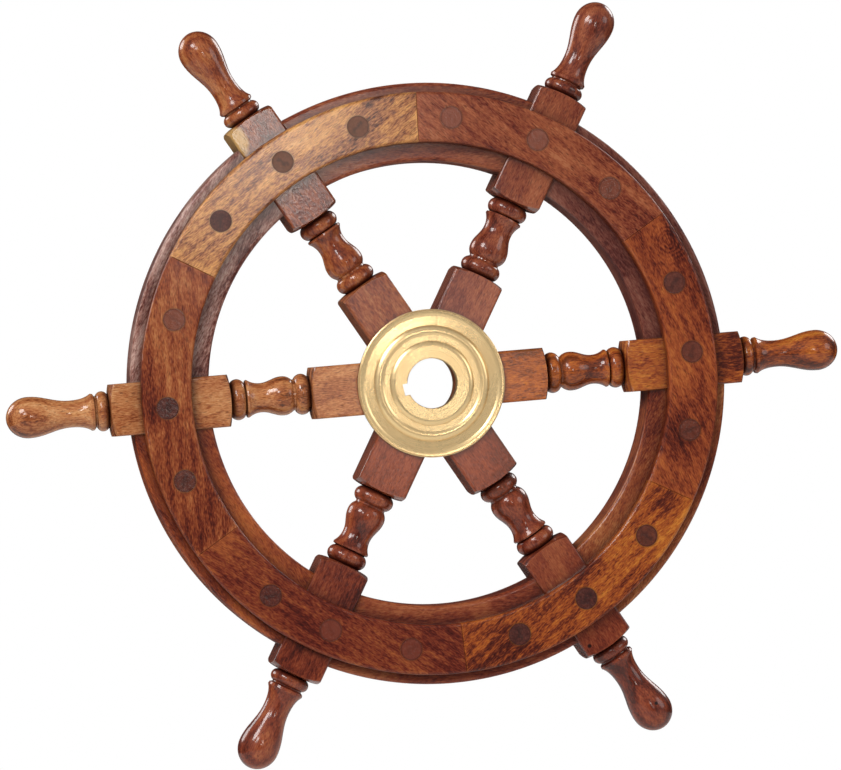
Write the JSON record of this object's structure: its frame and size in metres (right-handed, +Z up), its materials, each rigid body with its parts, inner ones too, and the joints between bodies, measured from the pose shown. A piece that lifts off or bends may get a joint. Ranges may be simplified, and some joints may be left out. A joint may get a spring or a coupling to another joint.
{
  "type": "ship steering wheel",
  "caption": "Wooden ship's wheel with turned spokes and handles, a laminated pegged rim and a keyed brass hub that fits a helm shaft.",
  "frame": {"origin": "on the shaft axis, midway through the thickness of the spokes and rim", "axes": "+Y along the shaft axis towards the back, so the front faces -Y; +X along one spoke; +Z up"},
  "size_m": [0.4572, 0.039, 0.3988],
  "materials": {
    "turned_spoke_wood": "glossy clear lacquer",
    "rim_wood": "glossy clear lacquer",
    "core_wood": "glossy clear lacquer",
    "peg_end_grain": "glossy clear lacquer",
    "hub_brass": "polished",
    "screw_brass": "satin"
  },
  "bodies": {
    "root": {"spoke_1": "turned_spoke_wood", "core_felloe_1": "core_wood", "front_facing_1": "rim_wood", "back_facing_1": "rim_wood", "rim_pegs_1": "peg_end_grain", "spoke_2": "turned_spoke_wood", "core_felloe_2": "core_wood", "front_facing_2": "rim_wood", "back_facing_2": "rim_wood", "rim_pegs_2": "peg_end_grain", "spoke_3": "turned_spoke_wood", "core_felloe_3": "core_wood", "front_facing_3": "rim_wood", "back_facing_3": "rim_wood", "rim_pegs_3": "peg_end_grain", "spoke_4": "turned_spoke_wood", "core_felloe_4": "core_wood", "front_facing_4": "rim_wood", "back_facing_4": "rim_wood", "rim_pegs_4": "peg_end_grain", "spoke_5": "turned_spoke_wood", "core_felloe_5": "core_wood", "front_facing_5": "rim_wood", "back_facing_5": "rim_wood", "rim_pegs_5": "peg_end_grain", "spoke_6": "turned_spoke_wood", "core_felloe_6": "core_wood", "front_facing_6": "rim_wood", "back_facing_6": "rim_wood", "rim_pegs_6": "peg_end_grain", "hub_front_plate": "hub_brass", "hub_back_plate": "hub_brass", "hub_screws": "screw_brass"}
  },
  "joints": []
}
